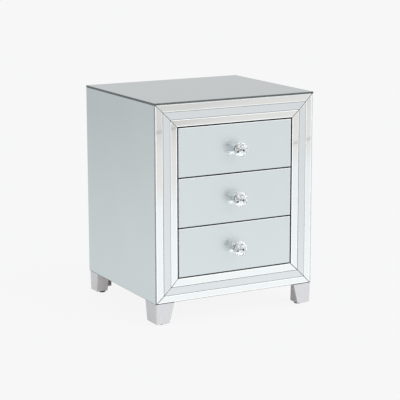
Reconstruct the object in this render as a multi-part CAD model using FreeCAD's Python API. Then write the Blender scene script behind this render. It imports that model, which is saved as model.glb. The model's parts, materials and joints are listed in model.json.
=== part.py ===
import FreeCAD, Part
import math
import os

Vector = FreeCAD.Vector

# Overall sizes of the chest, in millimetres
WIDTH = 500.0                   # across the outer faces of the two side mirrors
DEPTH = 440.0                   # from the flats of the front strips to the back
CARCASS_HEIGHT = 553.0          # from the underside of the bottom board to the face of the top mirror
FOOT_HEIGHT = 58.0
GLIDE_HEIGHT = 6.5

# Mirror glass
GLASS = 5.0                     # top and frame strips
SIDE_GLASS = 3.0
STRIP_WIDTH = 64.0              # top and bottom strips
SIDE_STRIP_WIDTH = 65.5         # left and right strips
STRIP_BEVEL = 20.4              # ground slope along each long edge of a top or bottom strip
STRIP_BEVEL_DROP = 2.5          # how far a slope falls back at its edge
SIDE_MIRROR_SETBACK = 2.0       # front edge of a side mirror behind the flats of the strips
DRAWER_GLASS = 4.0

# Boards
BOARD = 15.0                    # carcass boards, face frame and runner uprights
BACK_PANEL = 5.0
DRAWER_FRONT_BOARD = 16.0
DRAWER_SIDE_BOARD = 12.0
DRAWER_BASE_BOARD = 4.0

# Drawers, from the top one down
DRAWER_NAMES = ("top", "middle", "bottom")
DRAWER_GAP = 3.0                # open line above and below each drawer front
DRAWER_SIDE_GAP = 4.0           # and beside it
DRAWER_RECESS = 1.0             # face of a drawer mirror behind the flats of the strips
DRAWER_SIDE_RISE = 15.0         # lower edge of a drawer box above the lower edge of its front
DRAWER_SIDE_DROP = 21.0         # upper edge of a drawer box below the upper edge of its front
DRAWER_BACK_DROP = 8.0          # upper edge of a drawer's back board below that of its sides
DRAWER_REAR_SPACE = 62.0        # room between a closed drawer and the back panel
BASE_RISE = 8.0                 # groove of the base above the lower edge of the drawer box
BASE_GROOVE = 5.0               # depth of that groove
BASE_FACE_PLAY = 0.2            # groove higher than the base is thick
BASE_EDGE_PLAY = 0.25           # edge of the base short of the floor of its groove

# Ball-bearing runners
RUNNER_SPACE = 12.7             # between a runner upright and the side of a drawer box
RUNNER_HEIGHT = 35.0
RUNNER_RISE = 45.0              # middle of a runner above the lower edge of the drawer box
RUNNER_SETBACK = 2.0            # front end of a runner behind the drawer's front board
RUNNER_HOLD = 90.0              # length still engaged when a drawer is pulled right out
RAIL_SHEET = 1.0
RAIL_PLAY = 0.4                 # flange of the fixed rail to the web of the slide
BALL_RADIUS = 2.8
BALL_PLAY = 0.3                 # ball to flange and ball to cage
LIP_PLAY = 0.4                  # ball to the turned edges that keep it in
BALLS_IN_ROW = 6
CAGE_SHEET = 0.6
CAGE_LENGTH = 84.0
CAGE_HEAD_PLAY = 0.3            # cage to the screw heads under it
CAGE_SLIDE_PLAY = 0.5           # cage to the slide

# Knobs: a cut crystal on a turned stem
KNOB_SIDES = 10
KNOB_RADIUS = 20.0
KNOB_LENGTH = 34.0              # crystal alone
KNOB_SEAT = 8.0                 # back of the crystal in front of the drawer mirror
KNOB_RINGS = ((0.0, 0.45), (0.2, 0.82), (0.4, 1.0), (0.66, 1.0), (0.87, 0.8), (1.0, 0.48))
STEM_FLANGE_RADIUS = 9.0
STEM_FLANGE = 2.0
STEM_NECK_RADIUS = 5.5
STEM_CUP = 2.0
STEM_BORE_FLOOR = 1.5           # metal left between the bore and the crystal
KNOB_SCREW_RADIUS = 2.0
KNOB_SCREW_HEAD_RADIUS = 4.0
KNOB_SCREW_HEAD = 2.5
KNOB_SCREW_TIP_PLAY = 0.5       # tip of the screw short of the floor of the bore
KNOB_HOLE_PLAY = 0.5            # around the screw in the front board and its mirror

# Feet: tapered a little outside and more inside; a front foot has its inner corner cut square across
FOOT_INSET_TOP = 2.0            # outer faces of a foot inside the outer faces of the chest, at its upper end
FOOT_INSET = 3.0                # and at its lower end
FRONT_FOOT_WIDTH_TOP = 56.0
FRONT_FOOT_WIDTH_BOTTOM = 40.0
FRONT_FOOT_DEPTH_TOP = 68.0
FRONT_FOOT_DEPTH_BOTTOM = 58.0
FRONT_FOOT_KEEP_TOP = 2.5       # what the corner cut leaves of the narrower inner face
FRONT_FOOT_KEEP_BOTTOM = 21.5
REAR_FOOT_WIDTH = 36.0          # at its lower end; its inner face is upright
REAR_FOOT_DEPTH_TOP = 53.0
REAR_FOOT_DEPTH_BOTTOM = 41.5
BRACE_BOARD = 12.0              # upright board beside each rear foot
BRACE_REACH = 62.0              # its free end inside the outer face of the foot
BRACE_RISE = 4.5                # its lower edge above the lower edge of the foot
FOOT_BOLT_RADIUS = 4.0
FOOT_BOLT_INSET = 20.0          # axis of the bolt inside both outer faces
FOOT_BOLT_IN_FOOT = 30.0
FOOT_BOLT_IN_BOARD = 12.0
GLIDE_RADIUS = 10.0
GLIDE_INSET = 25.0              # axis of the glide inside both outer faces
GLIDE_PIN_RADIUS = 2.5
GLIDE_PIN = 12.0

# Screws of the back panel, the rails and the slides
SCREW_RADIUS = 1.75
SCREW_HEAD_RADIUS = 3.5
SCREW_TIP = 3.0                 # length of the point
FIXED_FIT = 0.05                # around each bolt, pin and screw in its hole
HOLE_END_PLAY = 0.5             # hole deeper than what it holds
BACK_SCREW_HEAD = 2.2
BACK_SCREW_LENGTH = 22.0
BACK_SCREWS_IN_ROW = 3          # along each of the four edges
SHEET_SCREW_HEAD = 1.3          # flat head on the web of a rail or slide
RAIL_SCREW_LENGTH = 12.0        # from the back of its head
RAIL_SCREW_INSET = 35.0         # from either end of a rail
SLIDE_SCREW_LENGTH = 10.0
SLIDE_SCREW_INSET = 60.0        # from either end of a slide

# Places across and up the chest that follow from those sizes
WOOD_X = WIDTH / 2 - SIDE_GLASS
OPENING_X = WOOD_X - SIDE_STRIP_WIDTH
CARCASS_Z = GLIDE_HEIGHT + FOOT_HEIGHT
TOP_Z = CARCASS_Z + CARCASS_HEIGHT
WOOD_TOP_Z = TOP_Z - GLASS
INNER_LOW_Z = CARCASS_Z + BOARD
INNER_HIGH_Z = WOOD_TOP_Z - BOARD
OPENING_LOW_Z = CARCASS_Z + STRIP_WIDTH
OPENING_HIGH_Z = WOOD_TOP_Z - STRIP_WIDTH

# Places from front to back; the origin lies under the middle of chest and knobs together
KNOB_PROUD = KNOB_SEAT + KNOB_LENGTH - DRAWER_RECESS
FRONT_Y = (KNOB_PROUD - DEPTH) / 2
BACK_Y = FRONT_Y + DEPTH
FRAME_Y = FRONT_Y + GLASS
FRAME_BACK_Y = FRAME_Y + BOARD
WOOD_BACK_Y = BACK_Y - BACK_PANEL
DRAWER_FACE_Y = FRONT_Y + DRAWER_RECESS
DRAWER_BOARD_Y = DRAWER_FACE_Y + DRAWER_GLASS
DRAWER_BOX_Y = DRAWER_BOARD_Y + DRAWER_FRONT_BOARD
DRAWER_BOX_BACK_Y = WOOD_BACK_Y - DRAWER_REAR_SPACE

# Drawer sizes
DRAWER_COUNT = len(DRAWER_NAMES)
DRAWER_FRONT_X = OPENING_X - DRAWER_SIDE_GAP
DRAWER_FRONT_HEIGHT = (OPENING_HIGH_Z - OPENING_LOW_Z - DRAWER_GAP * (DRAWER_COUNT + 1)) / DRAWER_COUNT
DRAWER_BOX_X = OPENING_X - RUNNER_SPACE
DRAWER_INNER_X = DRAWER_BOX_X - DRAWER_SIDE_BOARD

# Runner sizes; a reach is measured from the upright towards the drawer
RUNNER_Y = DRAWER_BOX_Y + RUNNER_SETBACK
RUNNER_BACK_Y = DRAWER_BOX_BACK_Y
RUNNER_TRAVEL = RUNNER_BACK_Y - RUNNER_Y - RUNNER_HOLD
RAIL_HALF = RUNNER_HEIGHT / 2
RAIL_REACH = RUNNER_SPACE - RAIL_SHEET - RAIL_PLAY
BALL_RISE = RAIL_HALF - RAIL_SHEET - BALL_PLAY - BALL_RADIUS
SLIDE_HALF = BALL_RISE - BALL_RADIUS - BALL_PLAY
CAGE_WEB = RAIL_SHEET + SHEET_SCREW_HEAD + CAGE_HEAD_PLAY
CAGE_REACH = RUNNER_SPACE - RAIL_SHEET - CAGE_SLIDE_PLAY
SLIDE_EDGE = CAGE_WEB + CAGE_SHEET + CAGE_SLIDE_PLAY
BALL_REACH = (SLIDE_EDGE + RAIL_REACH) / 2
LIP_SPACE = (RAIL_REACH - SLIDE_EDGE) / 2 - RAIL_SHEET
LIP_CLEAR = math.sqrt(max((BALL_RADIUS + LIP_PLAY) ** 2 - LIP_SPACE ** 2, 0))
LIP_STOP = max(LIP_CLEAR, CAGE_SHEET / 2 + CAGE_SLIDE_PLAY)
CAGE_Y = RUNNER_Y + RUNNER_TRAVEL / 2 + (RUNNER_HOLD - CAGE_LENGTH) / 2

SIDES = {"left": -1, "right": 1}
FRONT_AND_REAR = {"front": -1, "rear": 1}
UP = Vector(0, 0, 1)
FORWARD = Vector(0, -1, 0)


# Basic shapes

def block(x_low, x_high, y_low, y_high, z_low, z_high):
    """A rectangular board between two corners."""
    return Part.makeBox(x_high - x_low, y_high - y_low, z_high - z_low, Vector(x_low, y_low, z_low))


def side_block(side, near, far, y_low, y_high, z_low, z_high):
    """A board on the left or right, between two distances from the middle of the chest."""
    x_low, x_high = sorted((side * near, side * far))
    return block(x_low, x_high, y_low, y_high, z_low, z_high)


def rod(radius, start, end):
    """A round bar between two points."""
    along = end - start
    return Part.makeCylinder(radius, along.Length, start, along)


def polygon_face(points):
    """A flat face inside a closed outline."""
    return Part.Face(Part.makePolygon(list(points) + [points[0]]))


def closed_solid(outlines):
    """A solid with one flat face for each outline."""
    solid = Part.makeSolid(Part.makeShell([polygon_face(outline) for outline in outlines]))
    if solid.Volume < 0:
        solid.reverse()
    return solid


def tapered_solid(rings):
    """A solid with flat faces that joins outlines of equally many points, one after another."""
    outlines = [rings[0], rings[-1]]
    for lower, upper in zip(rings, rings[1:]):
        for corner in range(len(lower)):
            beside = (corner + 1) % len(lower)
            outlines.append([lower[corner], lower[beside], upper[beside], upper[corner]])
    return closed_solid(outlines)


def turned(profile, origin, axis):
    """A turned solid from an outline of (radius, distance along the axis) points."""
    sideways = UP if abs(axis.z) < abs(axis.x) + abs(axis.y) else Vector(1, 0, 0)
    points = [origin + sideways * radius + axis * along for radius, along in profile]
    solid = polygon_face(points).revolve(origin, axis, 360)
    if solid.Volume < 0:
        solid.reverse()
    return solid


def evenly(low, high, count):
    """Places in the middles of equal stretches between two limits."""
    return [low + (high - low) * (place + 0.5) / count for place in range(count)]


def save(name, *solids):
    """Write one named piece, or one group of equal pieces."""
    shape = solids[0] if len(solids) == 1 else Part.makeCompound(list(solids))
    shape.exportStep("parts/" + name + ".step")
    state = "valid" if shape.isValid() else "BAD"
    print(name, len(shape.Solids), "solids", round(shape.Volume), "mm3", state)


# Where the drawers and their runners lie

def drawer_low_z(index):
    """Lower edge of a drawer front."""
    return OPENING_HIGH_Z - (index + 1) * (DRAWER_GAP + DRAWER_FRONT_HEIGHT)


def drawer_middle_z(index):
    return drawer_low_z(index) + DRAWER_FRONT_HEIGHT / 2


def box_low_z(index):
    """Lower edge of a drawer box."""
    return drawer_low_z(index) + DRAWER_SIDE_RISE


def box_high_z(index):
    return drawer_low_z(index) + DRAWER_FRONT_HEIGHT - DRAWER_SIDE_DROP


def runner_z(index):
    """Middle line of a drawer's runners."""
    return box_low_z(index) + RUNNER_RISE


# Mirror glass

def mirror_strip(corners, inward, width, width_beside):
    """A frame strip between two outer corners, sloped along both long edges and mitred at the ends.

    Each step across the strip shortens it at either end, in proportion to the strip that meets it there.
    """
    start, end = corners
    lead = (end - start).normalize() * (width_beside / width)
    bevel = STRIP_BEVEL * width / STRIP_WIDTH
    steps = ((0, STRIP_BEVEL_DROP), (bevel, 0), (width - bevel, 0),
             (width, STRIP_BEVEL_DROP), (width, GLASS), (0, GLASS))
    first = [start + (inward + lead) * across + Vector(0, depth, 0) for across, depth in steps]
    last = [end + (inward - lead) * across + Vector(0, depth, 0) for across, depth in steps]
    return tapered_solid([first, last])


def frame_mirrors():
    """The four strips of the front frame, by name."""
    low_left = Vector(-WOOD_X, FRONT_Y, CARCASS_Z)
    low_right = Vector(WOOD_X, FRONT_Y, CARCASS_Z)
    high_left = Vector(-WOOD_X, FRONT_Y, WOOD_TOP_Z)
    high_right = Vector(WOOD_X, FRONT_Y, WOOD_TOP_Z)
    upright = (SIDE_STRIP_WIDTH, STRIP_WIDTH)
    level = (STRIP_WIDTH, SIDE_STRIP_WIDTH)
    return {
        "left": mirror_strip((low_left, high_left), Vector(1, 0, 0), *upright),
        "right": mirror_strip((low_right, high_right), Vector(-1, 0, 0), *upright),
        "top": mirror_strip((high_left, high_right), Vector(0, 0, -1), *level),
        "bottom": mirror_strip((low_left, low_right), Vector(0, 0, 1), *level),
    }


def side_mirror(side):
    return side_block(side, WOOD_X, WIDTH / 2, FRONT_Y + SIDE_MIRROR_SETBACK, BACK_Y, CARCASS_Z, WOOD_TOP_Z)


def top_mirror():
    return block(-WIDTH / 2, WIDTH / 2, FRONT_Y, BACK_Y, WOOD_TOP_Z, TOP_Z)


# Screws of the back panel, set in the middle of the edges of the boards behind it

def back_screw_places():
    """Points on the back face: a row along each side board, the top board and the bottom board."""
    edge_x = WOOD_X - BOARD / 2
    places = []
    for z in evenly(INNER_LOW_Z, INNER_HIGH_Z, BACK_SCREWS_IN_ROW):
        places += [Vector(-edge_x, BACK_Y, z), Vector(edge_x, BACK_Y, z)]
    for x in evenly(-WOOD_X + BOARD, WOOD_X - BOARD, BACK_SCREWS_IN_ROW):
        places += [Vector(x, BACK_Y, CARCASS_Z + BOARD / 2), Vector(x, BACK_Y, WOOD_TOP_Z - BOARD / 2)]
    return places


def back_screw(place, play=0.0):
    """A countersunk screw, or with some play the hole that takes it."""
    shank = SCREW_RADIUS + play
    end = BACK_SCREW_LENGTH + (HOLE_END_PLAY if play else 0.0)
    profile = ((0, 0), (SCREW_HEAD_RADIUS + play, 0), (shank, BACK_SCREW_HEAD),
               (shank, end - SCREW_TIP), (0, end))
    return turned(profile, place, FORWARD)


def back_screw_holes():
    return Part.makeCompound([back_screw(place, FIXED_FIT) for place in back_screw_places()])


# Feet, their bolts and their glides

def foot_corner(side, end, inset=FOOT_INSET):
    """Outer corner of a foot, in plan."""
    x = side * (WIDTH / 2 - inset)
    y = FRONT_Y + inset if end < 0 else BACK_Y - inset
    return Vector(x, y, 0)


def inside_corner(side, end, inset, z):
    """A point at equal distances inside both outer faces of a foot's lower end."""
    corner = foot_corner(side, end)
    return Vector(corner.x - side * inset, corner.y - end * inset, z)


def front_foot_outline(width, depth, keep):
    """Outline of a front foot at one height, as distances inside its outer faces."""
    cut = min(width, depth) - keep
    return ((0, 0), (width, 0), (width, depth - cut), (width - cut, depth), (0, depth))


def rear_foot_outline(width, depth):
    """Outline of a rear foot at one height, as distances inside its outer faces."""
    return ((0, 0), (width, 0), (width, depth), (0, depth))


def foot_ring(side, end, outline, inset, z):
    """Points of a foot's outline at one height."""
    corner = foot_corner(side, end, inset)
    return [Vector(corner.x - side * across, corner.y - end * back, z) for across, back in outline]


def foot_bolt(side, end, play=0.0):
    """The bolt that holds a foot, or with some play the hole that takes it."""
    reach = HOLE_END_PLAY if play else 0.0
    start = inside_corner(side, end, FOOT_BOLT_INSET, CARCASS_Z - FOOT_BOLT_IN_FOOT - reach)
    finish = inside_corner(side, end, FOOT_BOLT_INSET, CARCASS_Z + FOOT_BOLT_IN_BOARD + reach)
    return rod(FOOT_BOLT_RADIUS + play, start, finish)


def glide(side, end):
    """A round glide with the pin that holds it in the foot."""
    floor = inside_corner(side, end, GLIDE_INSET, 0)
    profile = ((0, 0), (GLIDE_RADIUS, 0), (GLIDE_RADIUS, GLIDE_HEIGHT), (GLIDE_PIN_RADIUS, GLIDE_HEIGHT),
               (GLIDE_PIN_RADIUS, GLIDE_HEIGHT + GLIDE_PIN), (0, GLIDE_HEIGHT + GLIDE_PIN))
    return turned(profile, floor, UP)


def foot(side, end):
    """A block with one outline at its lower end and another under the chest."""
    if end < 0:
        low = front_foot_outline(FRONT_FOOT_WIDTH_BOTTOM, FRONT_FOOT_DEPTH_BOTTOM, FRONT_FOOT_KEEP_BOTTOM)
        high = front_foot_outline(FRONT_FOOT_WIDTH_TOP, FRONT_FOOT_DEPTH_TOP, FRONT_FOOT_KEEP_TOP)
    else:
        low = rear_foot_outline(REAR_FOOT_WIDTH, REAR_FOOT_DEPTH_BOTTOM)
        high = rear_foot_outline(REAR_FOOT_WIDTH + FOOT_INSET - FOOT_INSET_TOP, REAR_FOOT_DEPTH_TOP)
    body = tapered_solid([foot_ring(side, end, low, FOOT_INSET, GLIDE_HEIGHT),
                          foot_ring(side, end, high, FOOT_INSET_TOP, CARCASS_Z)])
    pin_foot = inside_corner(side, end, GLIDE_INSET, GLIDE_HEIGHT)
    pin_hole = rod(GLIDE_PIN_RADIUS + FIXED_FIT, pin_foot, pin_foot + UP * (GLIDE_PIN + HOLE_END_PLAY))
    return body.cut(pin_hole).cut(foot_bolt(side, end, FIXED_FIT))


def foot_brace(side):
    """A plain upright board at the back, against a rear foot and the underside of the chest."""
    corner = foot_corner(side, 1)
    outer = abs(corner.x)
    return side_block(side, outer - BRACE_REACH, outer - REAR_FOOT_WIDTH, corner.y - BRACE_BOARD, corner.y,
                      GLIDE_HEIGHT + BRACE_RISE, CARCASS_Z)


FEET = [(side, end) for side in SIDES.values() for end in FRONT_AND_REAR.values()]


# Screws that hold a web of sheet metal flat against a board

def sheet_screw(place, into, length):
    """A flat-headed screw into a board, at a point on the face that the metal lies on."""
    head_face = place - into * (RAIL_SHEET + SHEET_SCREW_HEAD)
    end = SHEET_SCREW_HEAD + length
    profile = ((0, 0), (SCREW_HEAD_RADIUS, 0), (SCREW_HEAD_RADIUS, SHEET_SCREW_HEAD),
               (SCREW_RADIUS, SHEET_SCREW_HEAD), (SCREW_RADIUS, end - SCREW_TIP), (0, end))
    return turned(profile, head_face, into)


def sheet_screw_hole(place, into, length):
    """The hole that takes such a screw, in the metal and in the board."""
    depth = length - RAIL_SHEET + HOLE_END_PLAY
    return rod(SCREW_RADIUS + FIXED_FIT, place - into * RAIL_SHEET, place + into * depth)


def rail_screws(side, index, make):
    """The screws or the holes of one rail, on the face of the upright."""
    outward = Vector(side, 0, 0)
    ends = (RUNNER_Y + RAIL_SCREW_INSET, RUNNER_BACK_Y - RAIL_SCREW_INSET)
    places = [Vector(side * OPENING_X, y, runner_z(index)) for y in ends]
    return [make(place, outward, RAIL_SCREW_LENGTH) for place in places]


def slide_screws(side, index, make):
    """The screws or the holes of one slide, on the face of the drawer side."""
    inward = Vector(-side, 0, 0)
    ends = (RUNNER_Y + SLIDE_SCREW_INSET, RUNNER_BACK_Y - SLIDE_SCREW_INSET)
    places = [Vector(side * DRAWER_BOX_X, y, runner_z(index)) for y in ends]
    return [make(place, inward, SLIDE_SCREW_LENGTH) for place in places]


# Carcass boards

def bottom_panel():
    board = block(-WOOD_X, WOOD_X, FRAME_Y, WOOD_BACK_Y, CARCASS_Z, INNER_LOW_Z)
    bolt_holes = Part.makeCompound([foot_bolt(side, end, FIXED_FIT) for side, end in FEET])
    return board.cut(bolt_holes).cut(back_screw_holes())


def top_panel():
    board = block(-WOOD_X, WOOD_X, FRAME_Y, WOOD_BACK_Y, INNER_HIGH_Z, WOOD_TOP_Z)
    return board.cut(back_screw_holes())


def side_panel(side):
    board = side_block(side, WOOD_X - BOARD, WOOD_X, FRAME_BACK_Y, WOOD_BACK_Y, INNER_LOW_Z, INNER_HIGH_Z)
    return board.cut(back_screw_holes())


def back_panel():
    return block(-WOOD_X, WOOD_X, WOOD_BACK_Y, BACK_Y, CARCASS_Z, WOOD_TOP_Z).cut(back_screw_holes())


def frame_stile(side):
    return side_block(side, OPENING_X, WOOD_X, FRAME_Y, FRAME_BACK_Y, INNER_LOW_Z, INNER_HIGH_Z)


def frame_rail(z_low, z_high):
    return block(-OPENING_X, OPENING_X, FRAME_Y, FRAME_BACK_Y, z_low, z_high)


def runner_upright(side):
    board = side_block(side, OPENING_X, OPENING_X + BOARD, FRAME_BACK_Y, WOOD_BACK_Y,
                       INNER_LOW_Z, INNER_HIGH_Z)
    for index in range(DRAWER_COUNT):
        board = board.cut(rail_screws(side, index, sheet_screw_hole))
    return board


# Runners

def channel(upper_half, side, index, y_low, y_high):
    """A folded channel along the runner, from the upper half of its section of (reach, rise) points."""
    outline = upper_half + [(reach, -rise) for reach, rise in reversed(upper_half)]
    points = [Vector(side * (OPENING_X - reach), y_low, runner_z(index) + rise) for reach, rise in outline]
    return polygon_face(points).extrude(Vector(0, y_high - y_low, 0))


def fixed_rail(side, index):
    """The rail on the upright, open towards the drawer, with its edges turned in."""
    lip = BALL_RISE + LIP_STOP
    section = [(RAIL_SHEET, RAIL_HALF - RAIL_SHEET), (RAIL_REACH - RAIL_SHEET, RAIL_HALF - RAIL_SHEET),
               (RAIL_REACH - RAIL_SHEET, lip), (RAIL_REACH, lip), (RAIL_REACH, RAIL_HALF), (0, RAIL_HALF)]
    rail = channel(section, side, index, RUNNER_Y, RUNNER_BACK_Y)
    return rail.cut(rail_screws(side, index, sheet_screw_hole))


def drawer_slide(side, index):
    """The slide on the drawer side, open towards the upright, with its edges turned out."""
    lip = BALL_RISE - LIP_STOP
    section = [(RUNNER_SPACE - RAIL_SHEET, SLIDE_HALF - RAIL_SHEET), (SLIDE_EDGE, SLIDE_HALF - RAIL_SHEET),
               (SLIDE_EDGE, lip), (SLIDE_EDGE + RAIL_SHEET, lip), (SLIDE_EDGE + RAIL_SHEET, SLIDE_HALF),
               (RUNNER_SPACE, SLIDE_HALF)]
    slide = channel(section, side, index, RUNNER_Y, RUNNER_BACK_Y)
    return slide.cut(slide_screws(side, index, sheet_screw_hole))


def ball_cage(side, index):
    """The cage between rail and slide, with its two rows of balls; it goes half as far as the drawer."""
    half = CAGE_SHEET / 2
    section = [(CAGE_WEB + CAGE_SHEET, BALL_RISE - half), (CAGE_REACH, BALL_RISE - half),
               (CAGE_REACH, BALL_RISE + half), (CAGE_WEB, BALL_RISE + half)]
    cage = channel(section, side, index, CAGE_Y, CAGE_Y + CAGE_LENGTH)
    balls = []
    for y in evenly(CAGE_Y, CAGE_Y + CAGE_LENGTH, BALLS_IN_ROW):
        middle = Vector(side * (OPENING_X - BALL_REACH), y, runner_z(index))
        cage = cage.cut(rod(BALL_RADIUS + BALL_PLAY, middle - UP * RAIL_HALF, middle + UP * RAIL_HALF))
        balls += [Part.makeSphere(BALL_RADIUS, middle + UP * rise) for rise in (BALL_RISE, -BALL_RISE)]
    return [cage] + balls


# Drawers

def knob_hole(index):
    """The clearance hole of the knob screw, with the sunk seat of its head."""
    middle = Vector(0, DRAWER_BOX_Y, drawer_middle_z(index))
    shank = rod(KNOB_SCREW_RADIUS + KNOB_HOLE_PLAY, Vector(0, DRAWER_FACE_Y, middle.z), middle)
    seat = rod(KNOB_SCREW_HEAD_RADIUS + KNOB_HOLE_PLAY, middle + FORWARD * KNOB_SCREW_HEAD, middle)
    return shank.fuse(seat)


def base_groove(index):
    """The groove cut all round the inside of a drawer for the edge of its base."""
    low = box_low_z(index) + BASE_RISE
    high = low + DRAWER_BASE_BOARD + BASE_FACE_PLAY
    edge = DRAWER_INNER_X + BASE_GROOVE
    back = DRAWER_BOX_BACK_Y - DRAWER_SIDE_BOARD + BASE_GROOVE
    return block(-edge, edge, DRAWER_BOX_Y - BASE_GROOVE, back, low, high)


def front_sheet(index, y_low, y_high):
    """A sheet of a drawer front's outline between two depths."""
    low = drawer_low_z(index)
    high = low + DRAWER_FRONT_HEIGHT
    return block(-DRAWER_FRONT_X, DRAWER_FRONT_X, y_low, y_high, low, high)


def drawer_mirror(index):
    return front_sheet(index, DRAWER_FACE_Y, DRAWER_BOARD_Y).cut(knob_hole(index))


def drawer_front(index):
    board = front_sheet(index, DRAWER_BOARD_Y, DRAWER_BOX_Y)
    return board.cut(knob_hole(index)).cut(base_groove(index))


def drawer_side(side, index):
    board = side_block(side, DRAWER_INNER_X, DRAWER_BOX_X, DRAWER_BOX_Y, DRAWER_BOX_BACK_Y,
                       box_low_z(index), box_high_z(index))
    return board.cut(base_groove(index)).cut(slide_screws(side, index, sheet_screw_hole))


def drawer_back(index):
    board = block(-DRAWER_INNER_X, DRAWER_INNER_X, DRAWER_BOX_BACK_Y - DRAWER_SIDE_BOARD, DRAWER_BOX_BACK_Y,
                  box_low_z(index), box_high_z(index) - DRAWER_BACK_DROP)
    return board.cut(base_groove(index))


def drawer_base(index):
    low = box_low_z(index) + BASE_RISE
    reach = BASE_GROOVE - BASE_EDGE_PLAY
    edge = DRAWER_INNER_X + reach
    back = DRAWER_BOX_BACK_Y - DRAWER_SIDE_BOARD + reach
    return block(-edge, edge, DRAWER_BOX_Y - reach, back, low, low + DRAWER_BASE_BOARD)


# Knobs

def knob_crystal(index):
    """A cut crystal with a flat table in front and a flat seat on the stem."""
    rings = []
    for along, spread in KNOB_RINGS:
        y = DRAWER_FACE_Y - KNOB_SEAT - KNOB_LENGTH * along
        ring = []
        for corner in range(KNOB_SIDES):
            turn = 2 * math.pi * (corner + 0.5) / KNOB_SIDES
            radius = KNOB_RADIUS * spread
            ring.append(Vector(radius * math.sin(turn), y, drawer_middle_z(index) + radius * math.cos(turn)))
        rings.append(ring)
    return tapered_solid(rings)


def knob_stem(index):
    """The turned stem: a flange on the glass, a neck, and a cup behind the crystal."""
    origin = Vector(0, DRAWER_FACE_Y, drawer_middle_z(index))
    cup_start = KNOB_SEAT - STEM_CUP
    cup_radius = KNOB_RADIUS * KNOB_RINGS[0][1]
    profile = ((0, 0), (STEM_FLANGE_RADIUS, 0), (STEM_FLANGE_RADIUS, STEM_FLANGE / 2),
               (STEM_NECK_RADIUS, STEM_FLANGE), (STEM_NECK_RADIUS, cup_start),
               (cup_radius, KNOB_SEAT - STEM_CUP / 2), (cup_radius, KNOB_SEAT), (0, KNOB_SEAT))
    bore = rod(KNOB_SCREW_RADIUS + FIXED_FIT, origin, origin + FORWARD * (KNOB_SEAT - STEM_BORE_FLOOR))
    return turned(profile, origin, FORWARD).cut(bore)


def knob_screw(index):
    """The screw from inside the drawer into the stem."""
    origin = Vector(0, DRAWER_BOX_Y, drawer_middle_z(index))
    tip_y = DRAWER_FACE_Y - KNOB_SEAT + STEM_BORE_FLOOR + KNOB_SCREW_TIP_PLAY
    length = DRAWER_BOX_Y - tip_y
    profile = ((0, 0), (KNOB_SCREW_HEAD_RADIUS, 0), (KNOB_SCREW_HEAD_RADIUS, KNOB_SCREW_HEAD),
               (KNOB_SCREW_RADIUS, KNOB_SCREW_HEAD), (KNOB_SCREW_RADIUS, length), (0, length))
    return turned(profile, origin, FORWARD)


# Write the carcass
os.makedirs("parts", exist_ok=True)
save("bottom_panel", bottom_panel())
save("top_panel", top_panel())
save("back_panel", back_panel())
save("frame_rail_top", frame_rail(OPENING_HIGH_Z, INNER_HIGH_Z))
save("frame_rail_bottom", frame_rail(INNER_LOW_Z, OPENING_LOW_Z))
save("top_mirror", top_mirror())
for side_name, side in SIDES.items():
    save("side_panel_" + side_name, side_panel(side))
    save("frame_stile_" + side_name, frame_stile(side))
    save("runner_upright_" + side_name, runner_upright(side))
    save("side_mirror_" + side_name, side_mirror(side))
for strip_name, strip in frame_mirrors().items():
    save("frame_mirror_" + strip_name, strip)

# Write the feet and the fixings
for end_name, end in FRONT_AND_REAR.items():
    for side_name, side in SIDES.items():
        save("foot_" + end_name + "_" + side_name, foot(side, end))
for side_name, side in SIDES.items():
    save("foot_brace_" + side_name, foot_brace(side))
save("foot_glides", *[glide(side, end) for side, end in FEET])
save("foot_bolts", *[foot_bolt(side, end) for side, end in FEET])
save("back_panel_screws", *[back_screw(place) for place in back_screw_places()])
RUNNERS = [(side, index) for index in range(DRAWER_COUNT) for side in SIDES.values()]
save("runner_screws", *[screw for side, index in RUNNERS for screw in rail_screws(side, index, sheet_screw)])
save("runner_rails", *[fixed_rail(side, index) for side, index in RUNNERS])

# Write the drawers, each with its knob, slides and ball cages
for index, drawer_name in enumerate(DRAWER_NAMES):
    save("drawer_mirror_" + drawer_name, drawer_mirror(index))
    save("drawer_front_" + drawer_name, drawer_front(index))
    for side_name, side in SIDES.items():
        save("drawer_side_" + side_name + "_" + drawer_name, drawer_side(side, index))
    save("drawer_back_" + drawer_name, drawer_back(index))
    save("drawer_base_" + drawer_name, drawer_base(index))
    save("knob_" + drawer_name, knob_crystal(index))
    save("knob_stem_" + drawer_name, knob_stem(index))
    own_screws = [screw for side in SIDES.values() for screw in slide_screws(side, index, sheet_screw)]
    save("drawer_screws_" + drawer_name, knob_screw(index), *own_screws)
    save("drawer_slides_" + drawer_name, *[drawer_slide(side, index) for side in SIDES.values()])
    save("ball_cages_" + drawer_name, *[piece for side in SIDES.values() for piece in ball_cage(side, index)])
print("drawer travel", RUNNER_TRAVEL, "mm")
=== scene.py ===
# %% [markdown]
# # A mirrored bedside chest of drawers
#
# This lesson dresses a finished construction model in its looks. The chest is a fibreboard box covered with
# mirror glass: a sheet on top, a sheet on either side, a frame of four bevelled strips in front and three
# mirrored drawers with crystal knobs. Every piece is already in the frame at its real size, so this script
# only replaces plain solids by finely edged meshes at the same place and gives each of them a finish.

# %% Load the frame and keep its box
import bmesh
import bpy
import json
import math
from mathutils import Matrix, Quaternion, Vector


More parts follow.
